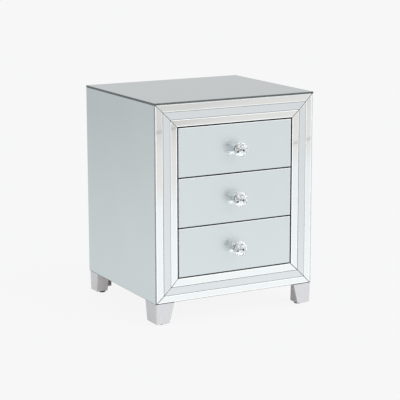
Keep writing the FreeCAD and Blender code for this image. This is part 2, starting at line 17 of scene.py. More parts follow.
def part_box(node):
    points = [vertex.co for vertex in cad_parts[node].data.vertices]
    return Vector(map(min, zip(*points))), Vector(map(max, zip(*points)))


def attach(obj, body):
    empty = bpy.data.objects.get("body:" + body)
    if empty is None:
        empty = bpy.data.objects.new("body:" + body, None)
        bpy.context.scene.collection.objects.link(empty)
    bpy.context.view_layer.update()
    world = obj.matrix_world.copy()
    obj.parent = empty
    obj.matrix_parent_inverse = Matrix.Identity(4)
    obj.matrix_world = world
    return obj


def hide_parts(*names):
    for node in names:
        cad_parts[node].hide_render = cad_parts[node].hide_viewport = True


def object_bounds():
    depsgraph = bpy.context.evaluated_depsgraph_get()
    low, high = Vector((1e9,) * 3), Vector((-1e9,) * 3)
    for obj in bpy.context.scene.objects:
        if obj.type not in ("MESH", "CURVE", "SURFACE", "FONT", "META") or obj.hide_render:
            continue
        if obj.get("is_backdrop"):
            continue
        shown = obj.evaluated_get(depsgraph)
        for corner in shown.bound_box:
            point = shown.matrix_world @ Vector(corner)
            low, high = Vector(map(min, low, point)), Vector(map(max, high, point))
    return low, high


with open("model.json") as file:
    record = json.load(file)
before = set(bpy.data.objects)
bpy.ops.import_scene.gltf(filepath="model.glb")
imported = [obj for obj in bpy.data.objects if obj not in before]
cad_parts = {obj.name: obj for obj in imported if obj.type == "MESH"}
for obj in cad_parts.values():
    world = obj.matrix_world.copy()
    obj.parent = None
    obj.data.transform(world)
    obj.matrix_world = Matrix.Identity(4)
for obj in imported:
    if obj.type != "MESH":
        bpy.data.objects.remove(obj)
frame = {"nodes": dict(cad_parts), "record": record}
cad_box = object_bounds()
BODIES = frame["record"]["behaviour"]["bodies"]
NODE_BODY = {node: body for body, nodes in BODIES.items() for node in nodes}
DRAWERS = ("top", "middle", "bottom")
SIDES = {"left": -1, "right": 1}
MM = 0.001
print("CAD box", [round(size, 4) for size in cad_box[1] - cad_box[0]])

# %% [markdown]
# ## The camera
#
# The photograph was taken with a long lens from the front left, a little above the top of the chest. The
# camera is placed by its angles around a point it looks at, because those are the numbers a photographer
# would set.

# %% Place the camera
CAMERA_AZIMUTH = math.radians(-28.48)
CAMERA_ELEVATION = math.radians(11.77)
CAMERA_ROLL = math.radians(-0.115)
CAMERA_DISTANCE = 4.257
CAMERA_TARGET = Vector((-0.0061, -0.0022, 0.2965))
CAMERA_LENS = 132.85
SENSOR_WIDTH = 36.0


def new_object(name, data):
    """An object in the scene."""
    made = bpy.data.objects.new(name, data)
    bpy.context.scene.collection.objects.link(made)
    return made


def towards(azimuth, elevation):
    """A unit vector from the chest; azimuth 0 is straight in front and turns to the right."""
    level = math.cos(elevation)
    return Vector((math.sin(azimuth) * level, -math.cos(azimuth) * level, math.sin(elevation)))


def place_camera():
    data = bpy.data.cameras.new("photo_camera")
    data.lens = CAMERA_LENS
    data.sensor_width = SENSOR_WIDTH
    camera = new_object("photo_camera", data)
    back = towards(CAMERA_AZIMUTH, CAMERA_ELEVATION)
    camera.location = CAMERA_TARGET + back * CAMERA_DISTANCE
    turn = back.to_track_quat("Z", "Y") @ Quaternion((0, 0, 1), CAMERA_ROLL)
    camera.rotation_euler = turn.to_euler()
    bpy.context.scene.camera = camera
    return camera


camera = place_camera()
print("camera at", [round(place, 3) for place in camera.location])

# %% [markdown]
# ## Finishes are small node trees
#
# A finish is one Principled shader with a little life in it: the colour, the roughness and the surface vary
# by noise that is fixed to the piece. All noise reads Object coordinates. The pieces stand at the origin in
# metres, so a scale of 400 means grains of about 2.5 mm. What is the same all over the surface is typed
# straight into the shader.

# %% Helpers for finishes
NOISE_LOW = 0.3
NOISE_HIGH = 0.7
EVEN = (1.0, 1.0, 1.0)


def feed(tree, socket, value):
    """Link a socket to another one or to a node's first output, or type a value into it."""
    if isinstance(value, bpy.types.Node):
        value = next(item for item in value.outputs if item.enabled)
    if isinstance(value, bpy.types.NodeSocket):
        tree.links.new(value, socket)
    else:
        socket.default_value = value


def add_node(tree, kind, settings=None, **given):
    """A node with its settings made and its inputs fed by name."""
    node = tree.nodes.new(kind)
    for label, value in (settings or {}).items():
        setattr(node, label, value)
    for label, value in given.items():
        name = label.replace("_", " ")
        feed(tree, next(item for item in node.inputs if item.name == name and item.enabled), value)
    return node


def combine(tree, operation, *values):
    """A Math node on two numbers."""
    node = add_node(tree, "ShaderNodeMath", {"operation": operation})
    for socket, value in zip(node.inputs, values):
        feed(tree, socket, value)
    return node


def new_finish(name, **fixed):
    """A material with its shader's fixed values set, its tree, its shader and its coordinates."""
    material = bpy.data.materials.new(name)
    material.use_nodes = True
    tree = material.node_tree
    shader = tree.nodes["Principled BSDF"]
    for label, value in fixed.items():
        shader.inputs[label.replace("_", " ")].default_value = value
    place = tree.nodes.new("ShaderNodeTexCoord").outputs["Object"]
    return material, tree, shader, place


def grain(tree, place, scale, detail=3.0, stretch=EVEN):
    """Noise from 0 to 1 on the piece; a stretch below 1 draws it out along that axis."""
    mapping = add_node(tree, "ShaderNodeMapping", Vector=place, Scale=stretch)
    return add_node(tree, "ShaderNodeTexNoise", Vector=mapping, Scale=scale, Detail=detail)


def blend(tree, factor, stops, socket):
    """Drive a colour through tones that are given as (place, tone) stops."""
    ramp = add_node(tree, "ShaderNodeValToRGB", Fac=factor)
    while len(ramp.color_ramp.elements) < len(stops):
        ramp.color_ramp.elements.new(0.5)
    for element, (place, tone) in zip(ramp.color_ramp.elements, stops):
        element.position = place
        element.color = (*tone, 1.0)
    feed(tree, socket, ramp)


def tint(tree, factor, dark, light, socket, low=NOISE_LOW, high=NOISE_HIGH):
    """Drive a colour between two tones."""
    blend(tree, factor, ((low, dark), (high, light)), socket)


def vary(tree, factor, least, most, socket):
    """Drive a number between two values."""
    span = add_node(tree, "ShaderNodeMapRange", Value=factor, From_Min=NOISE_LOW, From_Max=NOISE_HIGH,
                    To_Min=least, To_Max=most)
    feed(tree, socket, span)


def reach_along(tree, place, way):
    """How far a place lies along a direction."""
    product = add_node(tree, "ShaderNodeVectorMath", {"operation": "DOT_PRODUCT"}, Vector=place)
    product.inputs[1].default_value = way
    return product.outputs["Value"]


def roughen(tree, height, depth, shader):
    """Bump of a real depth in metres."""
    feed(tree, shader.inputs["Normal"],
         add_node(tree, "ShaderNodeBump", Height=height, Strength=1.0, Distance=depth))


def grained_finish(name, tones, roughness, grains, depth, **fixed):
    """A finish whose colour, roughness and bumps follow three grains of (scale, detail, stretch)."""
    material, tree, shader, place = new_finish(name, **fixed)
    colour, shine, bumps = (grain(tree, place, *values) for values in grains)
    tint(tree, colour, *tones, shader.inputs["Base Color"])
    vary(tree, shine, *roughness, shader.inputs["Roughness"])
    roughen(tree, bumps, depth, shader)
    return material


def show(title, *finishes):
    """Print the names of some finishes."""
    print(title, *(finish.name for finish in finishes))


print("finish helpers ready")

# %% [markdown]
# ## Mirror glass
#
# Silvered glass is a metal seen through a thin green-grey window, so a metallic shader with a cool pale
# colour gives it with no need to trace the glass itself. The frame's flats are painted a little whiter than
# the top, as painted light. The sides are painted greyer, greyer still towards the back, as painted shade for
# the darker room that they reflect. The drawers have a softer polish that blurs their own knobs. Real sheets
# are never wiped quite clean, so the roughness drifts a little.

# %% Mirror finishes
DRIFT_SCALE = 5.0
DRIFT_SPAN = (0.1, 0.9)
WIPE_SCALE = 14.0
WAVE_SCALE = 9.0
WAVE_DEPTH = 0.00001
CLEAN = (0.03, 0.08)
SOFT = (0.36, 0.40)
REPOLISHED = (0.02, 0.07)


def polish(tree, place, shader, least, most):
    """Roughness that drifts, as wiping leaves it, and very shallow waves."""
    vary(tree, grain(tree, place, WIPE_SCALE, 5.0), least, most, shader.inputs["Roughness"])
    roughen(tree, grain(tree, place, WAVE_SCALE, 1.0), WAVE_DEPTH, shader)


def mirror_finish(name, dark, light, roughness, lean=(0.0, 0.0, 0.0)):
    """Silvered glass whose tone drifts by noise, and along a direction if there is one."""
    material, tree, shader, place = new_finish(name, Metallic=1.0)
    drift = combine(tree, "ADD", grain(tree, place, DRIFT_SCALE), reach_along(tree, place, lean))
    tint(tree, drift, dark, light, shader.inputs["Base Color"], *DRIFT_SPAN)
    polish(tree, place, shader, *roughness)
    return material


CLEAR_TONES = ((0.755, 0.815, 0.832), (0.775, 0.835, 0.852))
# Painted light: the frame's flats take a lighter copy of the silvered glass.
FLAT_PAINTED_LIGHT_TONES = ((0.785, 0.825, 0.842), (0.805, 0.845, 0.862))
# Painted shade: the side sheets take a greyer copy, darker still towards the back.
SIDE_PAINTED_SHADE_TONES = ((0.5735, 0.638, 0.648), (0.6125, 0.677, 0.687))
TOWARDS_BACK = (0.0, -2.0, 0.0)
silvered_glass = mirror_finish("silvered_glass", *CLEAR_TONES, CLEAN)
painted_light_flat_glass = mirror_finish("flat_silvering_painted_light", *FLAT_PAINTED_LIGHT_TONES, CLEAN)
painted_shade_side_glass = mirror_finish("side_silvering_painted_shade", *SIDE_PAINTED_SHADE_TONES, CLEAN, TOWARDS_BACK)
soft_glass = mirror_finish("soft_silvered_glass", *CLEAR_TONES, SOFT)
show("mirror finishes", silvered_glass, painted_light_flat_glass, painted_shade_side_glass, soft_glass)

# %% [markdown]
# The slopes of the frame strips are ground thinner and repolished, which leaves them clearer. A slope throws
# the eye to another part of the room than the flat beside it: low slopes catch the bright floor, higher ones
# the warm grey of a room's far end. The even studio here has no far end, so that change is painted into the
# glass as a painted reflection: soft tones by height, whiter low down, turning a little later on the right
# than on the left, with a painted dark line where the room would have an edge. The topmost slope looks past
# it.

# %% Slope finish
SLOPE_LEAN = (-0.16, 0.0, 1.0)
# Painted reflection: tones by height for the slopes, with a painted dark line.
PAINTED_SLOPE_REFLECTION = ((0.37, (0.95, 0.995, 1.0)), (0.437, (0.89, 0.89, 0.88)), (0.4455, (0.70, 0.70, 0.69)),
               (0.454, (0.885, 0.886, 0.875)), (0.52, (0.87, 0.875, 0.855)), (0.565, (0.82, 0.825, 0.80)),
               (0.592, (0.69, 0.69, 0.67)))
PAINTED_LEFT_SLOPE_REFLECTION = ((0.37, (0.95, 0.995, 1.0)), (0.43, (0.89, 0.89, 0.88)), (0.52, (0.87, 0.875, 0.855)),
                    (0.558, (0.80, 0.805, 0.785)), (0.570, (0.775, 0.78, 0.76)),
                    (0.5775, (0.60, 0.60, 0.585)), (0.585, (0.755, 0.76, 0.74)), (0.60, (0.78, 0.785, 0.765)))
PAINTED_TOP_SLOPE_REFLECTION = ((0.575, (0.89, 0.895, 0.88)), (0.60, (0.865, 0.87, 0.855)), (0.62, (0.81, 0.815, 0.80)))


def slope_finish(name, tones):
    material, tree, shader, place = new_finish(name, Metallic=1.0)
    blend(tree, reach_along(tree, place, SLOPE_LEAN), tones, shader.inputs["Base Color"])
    polish(tree, place, shader, *REPOLISHED)
    return material


sloped_glass = slope_finish("sloped_glass", PAINTED_SLOPE_REFLECTION)
left_sloped_glass = slope_finish("left_sloped_glass", PAINTED_LEFT_SLOPE_REFLECTION)
top_sloped_glass = slope_finish("top_sloped_glass", PAINTED_TOP_SLOPE_REFLECTION)
show("slope finishes", sloped_glass, left_sloped_glass, top_sloped_glass)

# %% [markdown]
# The cut edges of the glass are ground, not silvered: grey-green and a little milky. The same ground edge
# comes in lighter and darker copies by how much light reaches it, as painted light and painted shade. The
# shaded edge is painted shade. The deep edge of the top sheet is much darker, partly because it looks into
# the whole depth of the sheet and partly as painted shade. The corner edge is a darker copy, the light edge a
# painted light copy. The fine ground lines beside the slopes are painted white, as painted highlights. The
# back of a mirror is a coat of grey paint.

# %% Edge and backing finishes
EDGE_GRAINS = ((90.0, 4.0), (700.0,), (1500.0,))
EDGE_SPREAD = 0.15
EDGE_DEPTH = 0.00003


def edge_finish(name, dark, light, roughness):
    return grained_finish(name, (dark, light), (roughness, roughness + EDGE_SPREAD), EDGE_GRAINS, EDGE_DEPTH,
                          IOR=1.52)


# Painted light and shade: these are copies of one ground edge; the white line is a painted highlight.
deep_painted_shade_edge = edge_finish("glass_edge_deep_and_painted_shade", (0.065, 0.078, 0.078), (0.095, 0.112, 0.112), 0.2)
corner_edge = edge_finish("corner_glass_edge", (0.24, 0.255, 0.255), (0.30, 0.315, 0.315), 0.35)
ground_edge = edge_finish("ground_glass_edge", (0.46, 0.485, 0.485), (0.54, 0.565, 0.56), 0.35)
painted_light_edge = edge_finish("glass_edge_painted_light", (0.62, 0.645, 0.645), (0.70, 0.72, 0.715), 0.35)
shaded_edge = edge_finish("shaded_glass_edge", (0.030, 0.036, 0.036), (0.055, 0.062, 0.062), 0.45)
cut_line = edge_finish("cut_line", (0.19, 0.20, 0.20), (0.25, 0.262, 0.26), 0.4)
mitre_line = edge_finish("mitre_line", (0.085, 0.091, 0.091), (0.12, 0.127, 0.127), 0.4)
painted_highlight_line = edge_finish("painted_highlight_line", (0.93, 0.955, 0.955), (0.975, 0.985, 0.985), 0.5)
backing_paint = edge_finish("mirror_backing_paint", (0.20, 0.21, 0.22), (0.26, 0.27, 0.28), 0.5)
show("edge finishes", deep_painted_shade_edge, corner_edge, ground_edge, painted_light_edge, shaded_edge)
show("lines and backing", cut_line, mitre_line, painted_highlight_line, backing_paint)

# %% [markdown]
# ## Paint, board, plastic and metal
#
# The feet are wood under satin silver paint: fine flakes, a little metal and a faint orange peel. The rear
# feet are painted a lighter silver, as painted light, and the inner faces of the front feet a darker one, as
# painted shade. The boards behind the glass are fibreboard. Where their edges show in the gaps around the
# drawers they are painted near-black. The bottom rail is painted a paler grey, as painted light in the gap
# below the drawers.
# The drawer boxes, and the ends of the drawer fronts, are wrapped in grey foil with a fine drawn grain.

# %% Paint and board finishes
PAINT_GRAINS = ((2600.0, 2.0), (60.0,), (420.0, 2.0))
PAINT_ROUGHNESS = (0.38, 0.48)
PEEL_DEPTH = 0.00006
BOARD_WEAR = (40.0,)
BOARD_SPREAD = 0.12


def silver_paint_finish(name, dark, light):
    return grained_finish(name, (dark, light), PAINT_ROUGHNESS, PAINT_GRAINS, PEEL_DEPTH, Metallic=0.12,
                          Coat_Weight=0.15, Coat_Roughness=0.3)


def board_finish(name, dark, light, scale, roughness, depth, stretch=EVEN):
    """A board with a grain of its own: speckled, or drawn out along one axis."""
    fibres = (scale, 5.0, stretch)
    return grained_finish(name, (dark, light), (roughness, roughness + BOARD_SPREAD),
                          (fibres, BOARD_WEAR, fibres), depth)


DRAWN_BACK = (1.0, 0.06, 1.0)
silver_paint = silver_paint_finish("silver_paint", (0.59, 0.59, 0.61), (0.665, 0.665, 0.68))
# Painted light: a lighter silver for the rear feet. Painted shade: a darker one for the front feet's inner
# faces.
painted_light_silver = silver_paint_finish("silver_paint_painted_light", (0.69, 0.69, 0.71), (0.77, 0.77, 0.785))
painted_shade_silver = silver_paint_finish("silver_paint_painted_shade", (0.36, 0.36, 0.37), (0.42, 0.42, 0.43))
fibreboard = board_finish("bare_fibreboard", (0.42, 0.33, 0.235), (0.56, 0.455, 0.34), 900.0, 0.75, 0.00008)
painted_board = board_finish("painted_board", (0.03, 0.03, 0.033), (0.052, 0.052, 0.056), 300.0, 0.6, 0.00005)
drawer_foil = board_finish("drawer_foil", (0.325, 0.335, 0.345), (0.40, 0.41, 0.42), 420.0, 0.42, 0.00003,
                           DRAWN_BACK)
# Painted light: a paler copy of the painted board for the bottom rail, lit in the gap below the drawers.
painted_light_board = board_finish("board_painted_light", (0.16, 0.16, 0.165), (0.21, 0.21, 0.215), 300.0, 0.6, 0.00005)
hardboard = board_finish("grey_hardboard", (0.27, 0.28, 0.29), (0.335, 0.345, 0.355), 650.0, 0.55, 0.0001)
grey_paint = board_finish("grey_paint", (0.42, 0.425, 0.43), (0.48, 0.485, 0.49), 500.0, 0.6, 0.00006)
show("paint", silver_paint, painted_light_silver, painted_shade_silver, painted_board, painted_light_board, grey_paint)
show("boards", fibreboard, drawer_foil, hardboard)

# %% [markdown]
# Zinc plate on the runners is bright but drawn along its length by the rolls that shaped it. The knob stems
# are satin chrome. The crystal is clear glass whose facets bend the room into small bright and dark patches;
# a share of plain white is painted light, standing for the light that is caught inside it. The facets behind
# are clearer. A few facets are painted white as painted highlights, and a few in front are painted dark as
# painted reflections of the dark.

# %% Metal, plastic and crystal finishes
PLASTIC_TONES = ((0.045, 0.045, 0.048), (0.075, 0.075, 0.08))
PLASTIC_GRAINS = ((300.0,), (120.0,), (1800.0,))
CRYSTAL_TONES = ((0.97, 0.98, 0.985), (0.995, 0.998, 1.0))


def metal_finish(name, dark, light, scale, roughness, depth, stretch=EVEN):
    streaks = (scale, 4.0, stretch)
    return grained_finish(name, (dark, light), roughness, [streaks] * 3, depth, Metallic=1.0)


def crystal_finish(name, clearness, dark, light):
    material, tree, shader, place = new_finish(name, Transmission_Weight=clearness, IOR=1.52)
    tint(tree, grain(tree, place, 60.0), dark, light, shader.inputs["Base Color"])
    vary(tree, grain(tree, place, 180.0), 0.0, 0.02, shader.inputs["Roughness"])
    return material


zinc_plate = metal_finish("zinc_plate", (0.56, 0.57, 0.585), (0.67, 0.68, 0.69), 500.0, (0.24, 0.36), 0.00002,
                          DRAWN_BACK)
chrome = metal_finish("satin_chrome", (0.82, 0.83, 0.85), (0.88, 0.89, 0.90), 60.0, (0.18, 0.26), 0.00001)
dark_plastic = grained_finish("dark_plastic", PLASTIC_TONES, (0.45, 0.6), PLASTIC_GRAINS, 0.00005)
# Painted light: the white share of the crystal; painted highlights and painted dark reflections on facets.
cut_crystal = crystal_finish("cut_crystal", 0.72, *CRYSTAL_TONES)
painted_highlight_facet = crystal_finish("crystal_facet_painted_highlight", 0.25, *CRYSTAL_TONES)
clear_crystal = crystal_finish("clear_crystal", 0.97, *CRYSTAL_TONES)
painted_dark_facet = crystal_finish("crystal_facet_painted_dark", 0.35, (0.030, 0.032, 0.035), (0.055, 0.058, 0.06))
show("metals and plastic", zinc_plate, chrome, dark_plastic)
show("crystal", cut_crystal, clear_crystal, painted_highlight_facet, painted_dark_facet)

# %% [markdown]
# ## Putting pieces in the frame
#
# A finished piece is a mesh whose place is in its vertices. It rides on the body of the node that it stands
# for. One helper does this for every piece, so nothing can be forgotten.

# %% Helpers for pieces
def add_piece(name, mesh, node, replaces=True):
    """Put a mesh in the scene in place of a node, or beside it on the same body."""
    piece = new_object(name, mesh)
    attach(piece, NODE_BODY[node])
    if replaces:
        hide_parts(node)
    return piece


def to_mesh(shell, name, finishes, smooth_angle=None):
    """Close a bmesh into a mesh with its finishes; faces bend smoothly below the angle, if there is one."""
    mesh = bpy.data.meshes.new(name)
    shell.normal_update()
    shell.to_mesh(mesh)
    shell.free()
    for finish in finishes:
        mesh.materials.append(finish)
    if smooth_angle is not None:
        mesh.shade_smooth()
        mesh.set_sharp_from_angle(angle=smooth_angle)
    return mesh


def shell_piece(shell, name, node, finishes, smooth_angle=None):
    """Close a bmesh and put it in the scene in place of a node."""
    return add_piece(name, to_mesh(shell, name, finishes, smooth_angle), node)


def repaint(piece, finish, chosen):
    """Give another finish to the faces whose normals pass a test."""
    piece.data.materials.append(finish)
    for face in piece.data.polygons:
        if chosen(face.normal):
            face.material_index = len(piece.data.materials) - 1


print("piece helpers ready")

# %% [markdown]
# ## Sheets of mirror glass
#
# A glass worker takes the sharp edge off a sheet with a small flat, the arris. That thin line is what makes
# glass read as glass, so it is real geometry: a box whose edges are bevelled by about a millimetre. The
# faces are then sorted by the way they look: the shown face is silvered, the hidden one has backing paint,
# and the rest is ground edge, painted dark as painted shade where it looks down. The left side sheet's edges
# are painted darker than the right one's, as painted shade and painted light.

# %% Top and side sheets
TOP_ARRIS = 0.0008
SIDE_ARRIS = 0.0012
ARRIS_STEPS = 2
FACING = 0.99
LEANING = 0.3
FACE, EDGE, BACK = range(3)


def box_shell(low, high):
    """A closed box between two corners."""
    shell = bmesh.new()
    bmesh.ops.create_cube(shell, size=1.0)
    for corner in shell.verts:
        corner.co = Vector(low[axis] if corner.co[axis] < 0 else high[axis] for axis in range(3))
    return shell


def glass_sheet(name, node, shown, face_finish, edge, arris):
    """A sheet whose silvered face looks along the shown direction."""
    shell = box_shell(*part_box(node))
    bmesh.ops.bevel(shell, geom=shell.edges[:], offset=arris, segments=ARRIS_STEPS, profile=0.5,
                    affect="EDGES")
    shell.normal_update()
    for face in shell.faces:
        along = face.normal.dot(shown)
        face.material_index = FACE if along > FACING else BACK if along < -FACING else EDGE
    sheet = shell_piece(shell, name, node, (face_finish, edge, backing_paint))
    # Painted shade on the edges that look down.
    repaint(sheet, shaded_edge, lambda normal: normal.z < -LEANING and abs(normal.dot(shown)) < FACING)


glass_sheet("top_glass", "top_mirror", Vector((0, 0, 1)), silvered_glass, deep_painted_shade_edge, TOP_ARRIS)
# Painted shade on the left sheet's edges, painted light on the right sheet's edges.
for side_name, side in SIDES.items():
    glass_sheet("side_glass_" + side_name, "side_mirror_" + side_name, Vector((side, 0, 0)), painted_shade_side_glass,
                corner_edge if side < 0 else painted_light_edge, SIDE_ARRIS)
print("three sheets with an arris of", TOP_ARRIS * 1000, "or", SIDE_ARRIS * 1000, "mm")

# %% [markdown]
# ## The front frame
#
# Each strip has three bands: a slope, a flat and a slope, parted by two fine V cuts. The thin white bands
# beside the slopes are painted highlights. The strips meet in mitres at the corners. Half a section is drawn
# as points of distance across and depth, mirrored, and swept between the two mitre planes. The ends get an
# arris too, so that a dark line with painted white highlights at its sides shows where two strips meet. The
# upright strips are a little wider than the level ones, so a mitre runs in proportion to the two widths. Each
# facet of
# a V cut has its own tone: painted white beside the slope as a painted highlight, grey beside the flat as
# painted shade. The bottom strip's inner slope is ground a little steeper, which lifts its reflection to the
# bright horizon.

# %% Frame strips
STRIP_BEVEL_SHARE = 20.4 / 64.0
# The white bands are painted highlights.
WHITE_WIDTH = 0.0022
CUT_WIDTH = 0.0034
CUT_DEPTH = 0.0006
MITRE_GAP = 0.0003
MITRE_ARRIS = 0.0011
MITRE_WHITE = 0.0009
BANDS = ("outer", "outer", "white", "outer slope", "white", "cut", "flat", "cut", "white", "inner slope",
         "white", "inner", "inner", "backing")
WIDE_BANDS = ("outer slope", "flat", "inner slope")
MITRE_SEGMENTS = (0, 4)
WHITE_SEGMENTS = (1, 3)
strip_low, strip_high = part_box("frame_mirror_left")
UPRIGHT_WIDTH = strip_high.x - strip_low.x
STRIP_GLASS = strip_high.y - strip_low.y
level_low, level_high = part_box("frame_mirror_top")
LEVEL_WIDTH = level_high.z - level_low.z


def half_section(bevel, arris, drop):
    """Points of (distance across, depth) from the back of an edge to the start of the flat."""
    half = [(0.0, STRIP_GLASS), (0.0, drop + arris)]
    for across in (arris, arris + WHITE_WIDTH, bevel - CUT_WIDTH / 2):
        half.append((across, drop * (1 - across / bevel)))
    return half + [(bevel, CUT_DEPTH), (bevel + CUT_WIDTH / 2, 0.0)]


def strip_section(width, grinding):
    """Points around a strip; each step from one to the next is one of the bands."""
    outer, inner = (half_section(width * STRIP_BEVEL_SHARE, arris, drop) for arris, drop in grinding)
    return outer + [(width - across, depth) for across, depth in reversed(inner)]


def frame_strip(name, ends, inward, widths, grinding, edges, slopes):
    """A strip between two corners, with the grinding and the finishes of its outer and inner edge."""
    width, width_beside = widths
    points = strip_section(width, grinding)
    along = (ends[1] - ends[0]).normalized()
    whole = MITRE_GAP + MITRE_ARRIS
    steps = ((MITRE_GAP, MITRE_ARRIS), (whole, 0.0), (whole + MITRE_WHITE, 0.0))
    shell = bmesh.new()
    rings = []
    for origin, way, pull, sink in ([(ends[0], along, *step) for step in steps]
                                    + [(ends[1], -along, *step) for step in reversed(steps)]):
        ring = []
        for across, depth in points:
            back = Vector((0, min(depth + sink, STRIP_GLASS), 0))
            lead = way * (across * width_beside / width + pull)
            ring.append(shell.verts.new(origin + inward * across + lead + back))
        rings.append(ring)
    finishes = {"flat": painted_light_flat_glass, "outer slope": slopes[0], "inner slope": slopes[1],
                "white": painted_highlight_line, "cut": cut_line, "mitre": mitre_line, "outer": edges[0],
                "inner": edges[1], "backing": backing_paint}
    order = list(finishes)
    for number, (first, second) in enumerate(zip(rings, rings[1:])):
        for step, band in enumerate(BANDS):
            beside = (step + 1) % len(BANDS)
            face = shell.faces.new((first[step], first[beside], second[beside], second[step]))
            if number in MITRE_SEGMENTS and band != "backing":
                band = "mitre"
            elif number in WHITE_SEGMENTS and band in WIDE_BANDS:
                band = "white"
            face.material_index = order.index(band)
    for ring in (rings[0], rings[-1]):
        shell.faces.new(ring).material_index = order.index("mitre")
    bmesh.ops.recalc_face_normals(shell, faces=shell.faces[:])
    shell_piece(shell, "frame_strip_" + name, "frame_mirror_" + name, finishes.values())


# Width of the arris and drop of the slope
FINE = (0.0006, 0.0025)
WIDE = (0.0011, 0.0025)
UNDER = (0.0014, 0.0025)
STEEP = (0.0006, 0.0032)
# Painted light and shade on the edges: painted shade on the inner edges of the right and top strips and on
# the bottom strip's outer edge, a painted highlight on the top strip's outer edge, painted light on the left
# strip's inner edge, and the darker corner edge on the uprights' outer edges.
for side_name, side in SIDES.items():
    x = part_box("frame_mirror_" + side_name)[0 if side < 0 else 1].x
    ends = [Vector((x, strip_low.y, z)) for z in (strip_low.z, strip_high.z)]
    frame_strip(side_name, ends, Vector((-side, 0, 0)), (UPRIGHT_WIDTH, LEVEL_WIDTH),
                (FINE, FINE if side < 0 else WIDE), (corner_edge, painted_light_edge if side < 0 else shaded_edge),
                [left_sloped_glass if side < 0 else sloped_glass] * 2)
for level_name, z, way, grinding, edges, slope in (
        ("top", strip_high.z, -1, (FINE, WIDE), (painted_highlight_line, shaded_edge), top_sloped_glass),
        ("bottom", strip_low.z, 1, (UNDER, STEEP), (shaded_edge, ground_edge), sloped_glass)):
    ends = [Vector((x, strip_low.y, z)) for x in (level_low.x, level_high.x)]
    frame_strip(level_name, ends, Vector((0, 0, way)), (LEVEL_WIDTH, UPRIGHT_WIDTH), grinding, edges,
                (slope, sloped_glass))
print("strips", round(UPRIGHT_WIDTH * 1000, 1), "and", round(LEVEL_WIDTH * 1000, 1), "mm wide")

# %% [markdown]
# ## Boards, sheet metal and other solids with eased edges
#
# No sawn board or folded channel has a perfectly sharp edge. A CAD solid arrives as loose triangles, so a
# copy of it is merged, its flat faces are joined, and its long edges are rounded. Short edges belong to the
# rims of screw holes and stay as they are.

# %% Eased copies
FLAT_ANGLE = math.radians(1)
SHARP_ANGLE = math.radians(25)
SHORTEST_EASED = 0.004
MERGE_DISTANCE = 0.000002


def merged_copy(node):
    """The node's solid as a bmesh with joined flat faces."""
    shell = bmesh.new()
    shell.from_mesh(frame["nodes"][node].data)
    bmesh.ops.remove_doubles(shell, verts=shell.verts[:], dist=MERGE_DISTANCE)
    bmesh.ops.dissolve_limit(shell, angle_limit=FLAT_ANGLE, verts=shell.verts[:], edges=shell.edges[:])
    return shell


def ease_edges(shell, radius, steps, chosen=lambda run: True):
    """Round the long sharp edges, or those whose run from end to end passes a test."""
    sharp = [edge for edge in shell.edges
             if edge.calc_length() > SHORTEST_EASED and edge.calc_face_angle(0.0) > SHARP_ANGLE
             and chosen(edge.verts[1].co - edge.verts[0].co)]
    bmesh.ops.bevel(shell, geom=sharp, offset=radius, segments=steps, profile=0.5, affect="EDGES",
                    clamp_overlap=True)


def eased_piece(node, finish, radius, steps=2):
    shell = merged_copy(node)
    ease_edges(shell, radius, steps)
    return shell_piece(shell, "eased_" + node, node, (finish,))


BOARD_EASE = 0.0005
CARCASS_BOARDS = {
    fibreboard: ("bottom_panel", "top_panel", "side_panel_left", "side_panel_right", "runner_upright_left",
                 "runner_upright_right"),
    painted_board: ("frame_stile_left", "frame_stile_right", "frame_rail_top"),
    # Painted light on the bottom rail, seen in the gap below the drawers.
    painted_light_board: ("frame_rail_bottom",),
    hardboard: ("back_panel",),
}
for finish, nodes in CARCASS_BOARDS.items():
    for node in nodes:
        eased_piece(node, finish, BOARD_EASE)
print("carcass boards", sum(map(len, CARCASS_BOARDS.values())), "eased by", BOARD_EASE * 1000, "mm")

# %% [markdown]
# ## Feet and glides
#
# The feet taper downwards, more on their inner faces than on their outer ones. Paint builds up on edges, so
# theirs are rounder than those of the boards. A plain grey board braces each rear foot. Under each foot sits
# a small turned glide of dark plastic, and a bolt holds the foot to the chest. The top edges of the feet are
# painted nearly black, as painted shade where the joint with the chest lies in shadow.

# %% Feet
FOOT_EASE = 0.0018
FOOT_STEPS = 4
for side_name, side in SIDES.items():
    # Painted light on the rear feet, painted shade on the inner faces of the front feet.
    rear_foot = eased_piece("foot_rear_" + side_name, painted_light_silver, FOOT_EASE, FOOT_STEPS)
    eased_piece("foot_brace_" + side_name, grey_paint, BOARD_EASE)
    front_foot = eased_piece("foot_front_" + side_name, silver_paint, FOOT_EASE, FOOT_STEPS)
    repaint(front_foot, painted_shade_silver, lambda normal: normal.x * side < -LEANING)
    # Painted shade: the top edges of the feet take the near-black board paint.
    for foot in (rear_foot, front_foot):
        repaint(foot, painted_board, lambda normal: normal.z > LEANING)
print("four feet eased by", FOOT_EASE * 1000, "mm, and two braces")

# %% Turned pieces
TURNED_SMOOTH = math.radians(40)
TURNED_SIDES = 40


def turn_profile(shell, profile, origin, axis, sides):
    """Turn an outline of (radius, distance along the axis) points in millimetres, from axis to axis."""
    across = axis.orthogonal().normalized()
    other = axis.cross(across)
    turns = [2 * math.pi * number / sides for number in range(sides)]
    spokes = [across * math.cos(turn) + other * math.sin(turn) for turn in turns]
    rings = []
    for radius, along in profile:
        middle = origin + axis * (along * MM)
        chosen = spokes if radius else spokes[:1]
        rings.append([shell.verts.new(middle + spoke * (radius * MM)) for spoke in chosen])
    for first, second in zip(rings, rings[1:]):
        for number in range(sides):
            beside = (number + 1) % sides
            ring = [first[number % len(first)], first[beside % len(first)],
                    second[beside % len(second)], second[number % len(second)]]
            shell.faces.new(list(dict.fromkeys(ring)))
    bmesh.ops.recalc_face_normals(shell, faces=shell.faces[:])


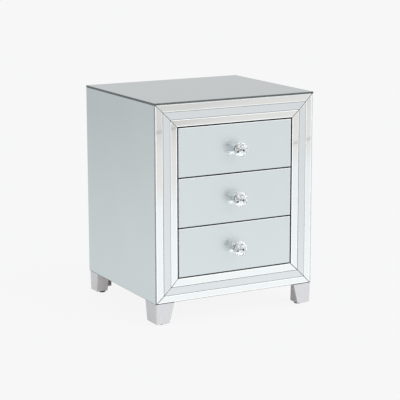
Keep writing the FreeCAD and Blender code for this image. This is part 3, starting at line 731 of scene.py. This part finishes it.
GLIDE_PROFILE = ((0, 0.6), (7.0, 0.6), (7.8, 0), (8.8, 0.2), (9.6, 0.9), (10.0, 1.9), (10.0, 4.5), (9.6, 5.8),
                 (9.0, 6.5), (2.5, 6.5), (2.5, 18.5), (0, 18.5))
bolt_low, bolt_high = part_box("foot_bolts")
BOLT_LENGTH = (bolt_high.z - bolt_low.z) / MM
BOLT_PROFILE = ((0, 0), (3.4, 0), (4.0, 0.6), (4.0, BOLT_LENGTH - 0.6), (3.4, BOLT_LENGTH), (0, BOLT_LENGTH))


def under_each_foot(name, node, profile, finish):
    """Four turned pieces, one in each corner of the box around the CAD ones."""
    low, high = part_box(node)
    radius = max(radius for radius, along in profile) * MM
    shell = bmesh.new()
    for x in (low.x + radius, high.x - radius):
        for y in (low.y + radius, high.y - radius):
            turn_profile(shell, profile, Vector((x, y, low.z)), Vector((0, 0, 1)), TURNED_SIDES)
    shell_piece(shell, name, node, (finish,), TURNED_SMOOTH)


under_each_foot("glides", "foot_glides", GLIDE_PROFILE, dark_plastic)
under_each_foot("bolts", "foot_bolts", BOLT_PROFILE, zinc_plate)
print("four glides and four bolts", round(BOLT_LENGTH), "mm long")

# %% [markdown]
# ## The drawers
#
# A drawer is a front board with its mirror, two sides, a back and a base. The mirror is drilled for the knob
# screw, so it starts from the CAD sheet rather than a new box. Its arris is widest on the upright edges. Its
# edges are painted white along the top and on the right as painted highlights, lighter on the left as painted
# light, and dark on the top face and below as painted shade.

# %% Drawer mirrors and boxes
LEVEL_ARRIS = 0.0012
UPRIGHT_ARRIS = 0.0014
UPRIGHT_RUN = 0.05


def drawer_glass(name):
    node = "drawer_mirror_" + name
    shell = merged_copy(node)
    ease_edges(shell, LEVEL_ARRIS, ARRIS_STEPS, lambda run: abs(run.z) < UPRIGHT_RUN)
    ease_edges(shell, UPRIGHT_ARRIS, ARRIS_STEPS, lambda run: abs(run.z) > UPRIGHT_RUN)
    glass = shell_piece(shell, "drawer_glass_" + name, node, (soft_glass,))
    # Painted highlights along the top and on the right, painted light on the left, painted shade on top and
    # below.
    repaint(glass, backing_paint, lambda normal: normal.y > FACING)
    repaint(glass, cut_line, lambda normal: abs(normal.y) < FACING)
    repaint(glass, shaded_edge, lambda normal: normal.z > FACING or normal.z < -LEANING)
    repaint(glass, painted_light_edge, lambda normal: abs(normal.y) < FACING and normal.x < -LEANING)
    repaint(glass, painted_highlight_line, lambda normal: -FACING < normal.y < -LEANING
            and max(normal.x, normal.z) > LEANING)


for name in DRAWERS:
    drawer_glass(name)
    front = eased_piece("drawer_front_" + name, painted_board, BOARD_EASE)
    repaint(front, drawer_foil, lambda normal: abs(normal.x) > LEANING)
    for board in ("drawer_side_left_", "drawer_side_right_", "drawer_back_"):
        eased_piece(board + name, drawer_foil, BOARD_EASE)
    eased_piece("drawer_base_" + name, hardboard, BOARD_EASE)
print(len(DRAWERS), "drawers of six boards and sheets")

# %% [markdown]
# ## Crystal knobs
#
# The knob is a cut crystal with rings of points, each ring turned half a step against the last. The hull
# around those points is made of flat triangular facets, as a cutter would grind them, and two round flats.
# The crystal sits in the cup of a small turned stem. A handful of facets are painted dark, as painted
# reflections of the dark, found by where the photographer sees them, in radii right of and above the middle
# of the knob. Every so many small facets are painted white as painted highlights.

# %% Knobs and stems
KNOB_SIDES = 14
KNOB_RINGS = ((0.0, 0.45), (0.1, 0.655), (0.2, 0.82), (0.3, 0.93), (0.41, 1.0), (0.53, 1.0), (0.65, 1.0),
              (0.77, 0.92), (0.87, 0.8), (0.94, 0.64), (0.985, 0.4), (1.0, 0.17))
KNOB_FINISHES = (cut_crystal, clear_crystal, painted_highlight_facet, painted_dark_facet)
CUT, CLEAR, WHITE, DARK = range(4)
CLEAR_SHARE = 0.42
WHITE_EVERY = 4
SIDE_STRIDE = 5
RING_STRIDE = 3
PAINTED_DARK_SPOTS = ((-0.9, 0.4), (-0.85, 0.05), (-0.45, -0.38), (0.02, -0.08), (0.45, -0.25), (0.24, 0.55))
DARK_COUNT = 2
STEM_SIDES = 48
STEM_PROFILE = ((0, 0), (8.8, 0), (9.0, 0.4), (9.0, 1.0), (8.6, 1.4), (7.0, 1.8), (5.9, 2.3), (5.5, 3.0),
                (5.5, 5.0), (5.8, 5.7), (6.6, 6.2), (8.0, 6.6), (8.8, 7.0), (9.0, 7.5), (9.0, 8.0), (0, 8.0))


def darken_facets(shell, middle, radius):
    """Paint dark, as painted reflections of the dark, the facets the photographer sees nearest to the dark
    spots.
    """
    view = towards(CAMERA_AZIMUTH, CAMERA_ELEVATION)
    rightward = Vector((0, 0, 1)).cross(view).normalized()
    upward = view.cross(rightward)
    faced = [facet for facet in shell.faces if facet.normal.dot(view) > 0]
    for right, up in PAINTED_DARK_SPOTS:
        spot = middle + (rightward * right + upward * up) * radius
        faced.sort(key=lambda facet: (facet.calc_center_median() - spot).cross(view).length)
        for facet in faced[:DARK_COUNT]:
            facet.material_index = DARK


def crystal(name):
    low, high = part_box("knob_" + name)
    length = high.y - low.y
    radius = (high.x - low.x) / 2
    middle_z = (low.z + high.z) / 2
    shell = bmesh.new()
    for number, (along, spread) in enumerate(KNOB_RINGS):
        for corner in range(KNOB_SIDES):
            turn = 2 * math.pi * (corner + 0.5 * (number % 2)) / KNOB_SIDES
            reach = radius * spread
            place = (reach * math.cos(turn), high.y - length * along, middle_z + reach * math.sin(turn))
            shell.verts.new(place)
    bmesh.ops.convex_hull(shell, input=shell.verts[:])
    bmesh.ops.dissolve_limit(shell, angle_limit=FLAT_ANGLE, verts=shell.verts[:], edges=shell.edges[:])
    bmesh.ops.recalc_face_normals(shell, faces=shell.faces[:])
    for facet in shell.faces:
        middle = facet.calc_center_median()
        share = (high.y - middle.y) / length
        turn = math.atan2(middle.z - middle_z, middle.x) / (2 * math.pi)
        number = round(turn * 2 * KNOB_SIDES) * SIDE_STRIDE + int(share * len(KNOB_RINGS)) * RING_STRIDE
        # Painted highlights: every so many small front facets are painted white.
        white = len(facet.verts) == 3 and number % WHITE_EVERY == 1
        facet.material_index = CLEAR if share < CLEAR_SHARE else WHITE if white else CUT
    shell.normal_update()
    darken_facets(shell, Vector((0, (low.y + high.y) / 2, middle_z)), radius)
    print("crystal", name, len(shell.faces), "facets")
    shell_piece(shell, "crystal_" + name, "knob_" + name, KNOB_FINISHES)


def stem(name):
    low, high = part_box("knob_stem_" + name)
    shell = bmesh.new()
    origin = Vector((0, high.y, (low.z + high.z) / 2))
    turn_profile(shell, STEM_PROFILE, origin, Vector((0, -1, 0)), STEM_SIDES)
    shell_piece(shell, "stem_" + name, "knob_stem_" + name, (chrome,), TURNED_SMOOTH)


for name in DRAWERS:
    crystal(name)
    stem(name)

# %% [markdown]
# ## Runners
#
# Each drawer slides on two ball-bearing runners of folded zinc-plated steel: a fixed rail, a slide on the
# drawer, and between them a cage with two rows of balls. Rails and slides are eased copies, cages plain ones.
# The balls all have one shape and differ in place only, so a small Geometry Nodes tree sets a ball on every
# point.

# %% Rails, slides and cages
SHEET_EASE = 0.00022
LONGEST_BALL = 0.02


def islands(shell):
    """Each group of joined vertices, with the two corners of its box."""
    left = set(shell.verts)
    while left:
        group = set()
        waiting = [next(iter(left))]
        while waiting:
            vertex = waiting.pop()
            if vertex not in group:
                group.add(vertex)
                waiting += [edge.other_vert(vertex) for edge in vertex.link_edges]
        left -= group
        lowest, highest = (Vector(pick(vertex.co[axis] for vertex in group) for axis in range(3))
                           for pick in (min, max))
        yield group, lowest, highest


def split_cages(name):
    """The two cages of a drawer as a bmesh, and the middles of the balls taken out of it."""
    shell = merged_copy("ball_cages_" + name)
    balls = []
    middles = []
    for group, lowest, highest in islands(shell):
        if highest.y - lowest.y < LONGEST_BALL:
            balls += group
            middles.append((lowest + highest) / 2)
    bmesh.ops.delete(shell, geom=balls, context="VERTS")
    return shell, sorted(middles, key=lambda middle: middle[:])


eased_piece("runner_rails", zinc_plate, SHEET_EASE)
ball_middles = {}
for name in DRAWERS:
    eased_piece("drawer_slides_" + name, zinc_plate, SHEET_EASE)
    cages, ball_middles[name] = split_cages(name)
    shell_piece(cages, "cage_strips_" + name, "ball_cages_" + name, (zinc_plate,))
print("balls in each pair of cages:", {name: len(middles) for name, middles in ball_middles.items()})

# %% [markdown]
# ## Balls and screws by Geometry Nodes
#
# A tree starts from a handful of points. It builds one ball or one screw from its named sizes, sets a copy on
# every point, turned to that point's heading, and makes the copies real. Screws stop at any angle when they
# are driven home, so each is turned by a random amount from a fixed seed.

# %% Tools for trees
def start_tree(name, sizes):
    """A tree with places, named sizes and a finish going in, and a mesh coming out."""
    tree = bpy.data.node_groups.new(name, "GeometryNodeTree")
    sockets = [("Places", "INPUT", "Geometry"), *((label, "INPUT", "Float") for label in sizes),
               ("Finish", "INPUT", "Material"), ("Pieces", "OUTPUT", "Geometry")]
    for label, way, kind in sockets:
        tree.interface.new_socket(label, in_out=way, socket_type="NodeSocket" + kind)
    return tree, tree.nodes.new("NodeGroupInput").outputs


def spread_on_places(tree, incoming, shape, rotation):
    """Set the shape on every place, make the copies real and give them the finish."""
    copies = add_node(tree, "GeometryNodeInstanceOnPoints", Points=incoming["Places"], Instance=shape,
                      Rotation=rotation)
    real = add_node(tree, "GeometryNodeRealizeInstances", Geometry=copies)
    done = add_node(tree, "GeometryNodeSetMaterial", Geometry=real, Material=incoming["Finish"])
    add_node(tree, "NodeGroupOutput", Pieces=done)


def headings(tree, seed):
    """Turn each copy's Z axis to its point's heading, and spin it about that axis by chance."""
    heading = add_node(tree, "GeometryNodeInputNamedAttribute", {"data_type": "FLOAT_VECTOR"}, Name="heading")
    aligned = add_node(tree, "FunctionNodeAlignRotationToVector", {"axis": "Z"}, Vector=heading)
    chance = add_node(tree, "FunctionNodeRandomValue", {"data_type": "FLOAT"}, Min=0.0, Max=math.pi / 2,
                      Seed=seed)
    spin = add_node(tree, "FunctionNodeAxisAngleToRotation", Axis=(0.0, 0.0, 1.0), Angle=chance)
    return add_node(tree, "FunctionNodeRotateRotation", {"rotation_space": "LOCAL"}, Rotation=aligned,
                    Rotate_By=spin)


def grow(name, tree, places, ways, given):
    """Run a tree on some points with the sizes and the finish given, and return a plain mesh."""
    points = bpy.data.meshes.new(name + "_places")
    points.from_pydata([tuple(place) for place in places], [], [])
    heading = points.attributes.new("heading", "FLOAT_VECTOR", "POINT")
    heading.data.foreach_set("vector", [value for way in ways for value in way])
    seed_object = new_object(name + "_places", points)
    modifier = seed_object.modifiers.new("pieces", "NODES")
    modifier.node_group = tree
    for item in tree.interface.items_tree:
        if item.name in given:
            modifier[item.identifier] = given[item.name]
    shown = seed_object.evaluated_get(bpy.context.evaluated_depsgraph_get())
    mesh = bpy.data.meshes.new_from_object(shown)
    mesh.name = name
    bpy.data.objects.remove(seed_object)
    return mesh


print("tree tools ready")

# %% Balls
BALL_RADIUS = 0.0028
BALL_SEED = 3


def ball_tree():
    tree, incoming = start_tree("runner_balls", ("Ball radius",))
    ball = add_node(tree, "GeometryNodeMeshUVSphere", Segments=20, Rings=12, Radius=incoming["Ball radius"])
    smooth = add_node(tree, "GeometryNodeSetShadeSmooth", Geometry=ball)
    spread_on_places(tree, incoming, smooth, headings(tree, BALL_SEED))
    return tree


runner_balls = ball_tree()
for name in DRAWERS:
    middles = ball_middles[name]
    mesh = grow("runner_balls_" + name, runner_balls, middles, [(0, 0, 1)] * len(middles),
                {"Ball radius": BALL_RADIUS, "Finish": chrome})
    add_piece("runner_balls_" + name, mesh, "ball_cages_" + name, replaces=False)
    print("balls", name, len(mesh.polygons), "faces")

# %% [markdown]
# The screw tree makes a head between two radii, so the same tree gives a countersunk head, wide at its face,
# and a pan head, wide at its root. A cross is cut into the face for the driver.

# %% Screws
SCREW_SEED = 11
SCREW_TIP = 0.0004
SCREW_SIZES = ("Face radius", "Root radius", "Head height", "Shank radius", "Shank length", "Recess reach",
               "Recess width", "Recess depth")


def moved_down(tree, shape, amount):
    """Shift a shape down its own axis."""
    shift = add_node(tree, "ShaderNodeCombineXYZ", Z=combine(tree, "MULTIPLY", amount, -1.0))
    return add_node(tree, "GeometryNodeTransform", Geometry=shape, Translation=shift)


def recess_bar(tree, x, y, depth):
    """One bar of the driver's cross, half of it above the face."""
    size = add_node(tree, "ShaderNodeCombineXYZ", X=x, Y=y, Z=combine(tree, "MULTIPLY", depth, 2.0))
    return add_node(tree, "GeometryNodeMeshCube", Size=size)


def screw_tree():
    tree, incoming = start_tree("cross_head_screws", SCREW_SIZES)
    head = add_node(tree, "GeometryNodeMeshCone", Vertices=32, Radius_Top=incoming["Face radius"],
                    Radius_Bottom=incoming["Root radius"], Depth=incoming["Head height"])
    seated = moved_down(tree, head, incoming["Head height"])
    cut = add_node(tree, "GeometryNodeMeshBoolean", {"operation": "DIFFERENCE", "solver": "EXACT"},
                   Mesh_1=seated)
    bar = (incoming["Recess reach"], incoming["Recess width"])
    for x, y in (bar, bar[::-1]):
        feed(tree, cut.inputs["Mesh 2"], recess_bar(tree, x, y, incoming["Recess depth"]))
    shank = add_node(tree, "GeometryNodeMeshCone", Vertices=16, Radius_Top=incoming["Shank radius"],
                     Radius_Bottom=SCREW_TIP, Depth=incoming["Shank length"])
    hung = moved_down(tree, shank, incoming["Shank length"])
    lowered = moved_down(tree, hung, incoming["Head height"])
    joined = add_node(tree, "GeometryNodeJoinGeometry", Geometry=lowered)
    feed(tree, joined.inputs["Geometry"], cut)
    spread_on_places(tree, incoming, joined, headings(tree, SCREW_SEED))
    return tree


cross_head_screws = screw_tree()
print("screw tree with", len(cross_head_screws.nodes), "nodes")

# %% [markdown]
# The CAD screws say where each screw sits and which way it points. A screw lies along its longest side, and
# its head is at the end with the widest ring of points.

# %% Find the screws and grow them
def screw_places(node):
    """Middle of the head's face and heading of each solid in a group of screws."""
    shell = merged_copy(node)
    found = []
    for group, lowest, highest in islands(shell):
        sizes = highest - lowest
        middle = (lowest + highest) / 2
        axis = max(range(3), key=lambda number: sizes[number])
        along = Vector(1 if number == axis else 0 for number in range(3))
        rim = max(group, key=lambda vertex: (vertex.co - middle).cross(along).length)
        heading = along if rim.co[axis] > middle[axis] else -along
        found.append((middle + heading * (sizes[axis] / 2), heading))
    shell.free()
    return sorted(found, key=lambda item: item[0][:])


def screws(name, node, sizes, axis, replaces=True):
    """Grow one kind of screw, with sizes in millimetres, where a group's screws lie along an axis."""
    chosen = [(place, heading) for place, heading in screw_places(node) if abs(heading[axis]) > FACING]
    places, ways = zip(*chosen)
    given = dict(zip(SCREW_SIZES, (size * MM for size in sizes)), Finish=zinc_plate)
    mesh = grow(name, cross_head_screws, places, ways, given)
    add_piece(name, mesh, node, replaces)
    print(name, len(places), "screws,", len(mesh.polygons), "faces")


ACROSS, FORWARD = 0, 1
BACK_SCREW = (3.5, 1.75, 2.2, 1.75, 19.7, 4.0, 0.8, 1.2)
RAIL_SCREW = (3.0, 3.5, 1.3, 1.75, 11.9, 3.6, 0.8, 0.8)
SLIDE_SCREW = (3.0, 3.5, 1.3, 1.75, 9.9, 3.6, 0.8, 0.8)
KNOB_SCREW = (3.5, 4.0, 2.5, 2.0, 23.0, 4.2, 0.9, 1.4)
screws("back_screws", "back_panel_screws", BACK_SCREW, FORWARD)
screws("rail_screws", "runner_screws", RAIL_SCREW, ACROSS)
for name in DRAWERS:
    screws("knob_screw_" + name, "drawer_screws_" + name, KNOB_SCREW, FORWARD)
    screws("slide_screws_" + name, "drawer_screws_" + name, SLIDE_SCREW, ACROSS, replaces=False)

# %% [markdown]
# ## Stage and light
#
# The floor is one pale sheet that runs past the picture on all sides. What the camera and the mirrors see of
# it is mostly its own pale colour, so that the chest's shadow on it stays faint, as in a bright studio.
# Outside the picture the floor's colour is painted darker to either side, a painted fall-off of light, which
# the mirrors pick up. A broad sun stands for the soft main light from the front right, and the sky is a few
# rings of tone.

# %% Floor, sky and lamps
FLOOR_REACH = 60.0
FLOOR_COLOUR = (0.928, 0.928, 0.93)
FLOOR_GLOW_SHARE = 0.965
FALL_START = (-1.993, -3.663, 0.0)
FALL_REACH = 4.0
# Painted fall-off of light: the floor's colour darkens outside the picture to either side.
PAINTED_FALL_OFFS = (((-0.935, 0.355, 0.0), ((0.0, 1.0), (1.35, 0.875), (2.5, 0.80))),
             ((0.807, -0.59, 0.0), ((0.0, 1.0), (0.6, 0.965), (1.0, 0.94), (2.6, 0.90))))
SUN_AZIMUTH = math.radians(35)
SUN_ELEVATION = math.radians(45)
SUN_WIDTH = math.radians(50)
SUN_STRENGTH = 1.6
SKY_TONES = ((0.05, (0.93, 0.93, 0.93)), (0.105, (0.62, 0.626, 0.626)), (0.16, (0.62, 0.626, 0.626)),
             (0.28, (0.605, 0.615, 0.62)), (0.6, (0.74, 0.745, 0.75)))


def light_left(tree, place, way, shares, socket):
    """Drive a number by the painted share of light left at a place, from (distance out that way, share)
    pairs.
    """
    offset = add_node(tree, "ShaderNodeVectorMath", {"operation": "SUBTRACT"}, Vector=place)
    offset.inputs[1].default_value = FALL_START
    distance = reach_along(tree, offset, Vector(way) / FALL_REACH)
    blend(tree, distance, [(far / FALL_REACH, (share, share, share)) for far, share in shares], socket)


def floor_finish():
    material, tree, plain, place = new_finish("pale_floor")
    tree.nodes.remove(plain)
    both = add_node(tree, "ShaderNodeMath", {"operation": "MULTIPLY"})
    for socket, (way, shares) in zip(both.inputs, PAINTED_FALL_OFFS):
        light_left(tree, place, way, shares, socket)
    matte = tree.nodes.new("ShaderNodeBsdfDiffuse")
    glow = tree.nodes.new("ShaderNodeEmission")
    for layer in (matte, glow):
        tint(tree, both, (0.0, 0.0, 0.0), FLOOR_COLOUR, layer.inputs["Color"], 0.0, 1.0)
    rays = tree.nodes.new("ShaderNodeLightPath").outputs
    seen = combine(tree, "MAXIMUM", rays["Is Camera Ray"], rays["Is Glossy Ray"])
    shown = combine(tree, "MAXIMUM", seen, rays["Is Transmission Ray"])
    mix = add_node(tree, "ShaderNodeMixShader", Fac=combine(tree, "MULTIPLY", shown, FLOOR_GLOW_SHARE))
    feed(tree, mix.inputs[1], matte)
    feed(tree, mix.inputs[2], glow)
    feed(tree, tree.nodes["Material Output"].inputs["Surface"], mix)
    return material


def lay_floor():
    shell = bmesh.new()
    bmesh.ops.create_circle(shell, cap_ends=True, segments=64, radius=FLOOR_REACH)
    floor = new_object("studio_floor", to_mesh(shell, "studio_floor", (floor_finish(),)))
    floor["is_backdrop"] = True


def paint_sky():
    world = bpy.data.worlds.new("studio_sky")
    bpy.context.scene.world = world
    world.use_nodes = True
    tree = world.node_tree
    way = tree.nodes.new("ShaderNodeTexCoord").outputs["Generated"]
    height = add_node(tree, "ShaderNodeSeparateXYZ", Vector=way)
    blend(tree, height.outputs["Z"], SKY_TONES, tree.nodes["Background"].inputs["Color"])


def hang_sun():
    data = bpy.data.lights.new("soft_sun", "SUN")
    data.energy = SUN_STRENGTH
    data.angle = SUN_WIDTH
    lamp = new_object("soft_sun", data)
    lamp.rotation_euler = towards(SUN_AZIMUTH, SUN_ELEVATION).to_track_quat("Z", "Y").to_euler()


lay_floor()
paint_sky()
hang_sun()
bpy.context.scene.view_settings.view_transform = "Standard"
print("stage ready")

# %% Show the two boxes together and finish
visual_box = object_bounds()
boxes = {"cad": cad_box, "visual": visual_box}
{name: [list(corner) for corner in box] for name, box in boxes.items()}
print("visual box", [round(size, 4) for size in visual_box[1] - visual_box[0]])
